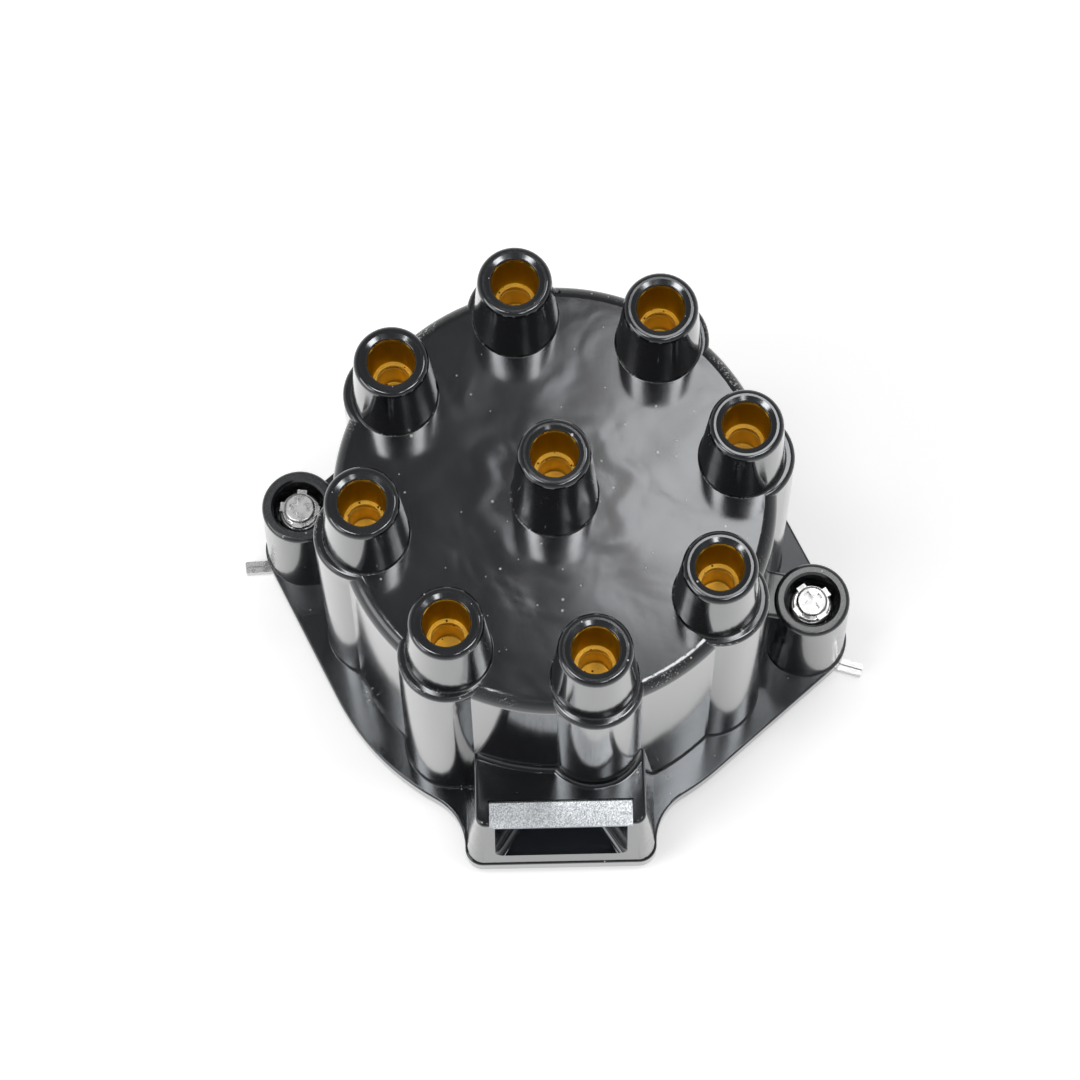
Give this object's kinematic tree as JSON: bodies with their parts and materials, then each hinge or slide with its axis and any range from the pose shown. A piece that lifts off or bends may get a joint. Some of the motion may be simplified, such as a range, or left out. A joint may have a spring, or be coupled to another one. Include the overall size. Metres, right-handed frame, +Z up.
{
  "type": "ignition distributor cap",
  "caption": "Moulded ignition distributor cap with a ring of lead towers round a coil tower, a sliding adjustment window and sprung turn latches.",
  "frame": {"origin": "rotor axis at the lower edge of the register ring", "axes": "+Z up the rotor axis towards the towers, -Y towards the adjustment window"},
  "size_m": [0.1408, 0.1182, 0.1151],
  "materials": {
    "black_moulding": "glossy black phenolic moulding",
    "brass": "turned brass",
    "door_steel": "galvanised sheet, fine speckle",
    "zinc_plate": "bright zinc plate",
    "spring_steel": "plated spring wire",
    "carbon": "pressed carbon"
  },
  "bodies": {
    "cap": {"cap_body": "black_moulding", "terminal_1": "brass", "terminal_2": "brass", "terminal_3": "brass", "terminal_4": "brass", "terminal_5": "brass", "terminal_6": "brass", "terminal_7": "brass", "terminal_8": "brass", "centre_terminal": "brass"},
    "brush": {"carbon_brush": "carbon", "brush_spring": "spring_steel"},
    "door": {"window_door": "door_steel"},
    "latch_plunger_right": {"latch_washer_right": "zinc_plate", "latch_spring_right": "spring_steel"},
    "latch_right": {"latch_screw_right": "zinc_plate", "latch_hook_right": "zinc_plate"},
    "latch_plunger_left": {"latch_washer_left": "zinc_plate", "latch_spring_left": "spring_steel"},
    "latch_left": {"latch_screw_left": "zinc_plate", "latch_hook_left": "zinc_plate"}
  },
  "joints": [
    {"name": "window_door_slide", "type": "slide", "parent": "cap", "child": "door", "axis": [0, 0, 1], "range_m": [0, 0.017]},
    {"name": "brush_slide", "type": "slide", "parent": "cap", "child": "brush", "axis": [0, 0, 1], "range_m": [0, 0.003], "stiffness_N_per_m": 250, "springref_m": -0.002, "deforming": ["brush_spring"]},
    {"name": "latch_right_push", "type": "slide", "parent": "cap", "child": "latch_plunger_right", "axis": [0, 0, -1], "range_m": [0, 0.006], "stiffness_N_per_m": 2500, "springref_m": -0.006, "deforming": ["latch_spring_right"]},
    {"name": "latch_right_turn", "type": "hinge", "parent": "latch_plunger_right", "child": "latch_right", "pos_m": [0.05638, -0.01198, 0.0032], "axis": [0, 0, 1], "continuous": true},
    {"name": "latch_left_push", "type": "slide", "parent": "cap", "child": "latch_plunger_left", "axis": [0, 0, -1], "range_m": [0, 0.006], "stiffness_N_per_m": 2500, "springref_m": -0.006, "deforming": ["latch_spring_left"]},
    {"name": "latch_left_turn", "type": "hinge", "parent": "latch_plunger_left", "child": "latch_left", "pos_m": [-0.05638, 0.01198, 0.0032], "axis": [0, 0, 1], "continuous": true}
  ]
}
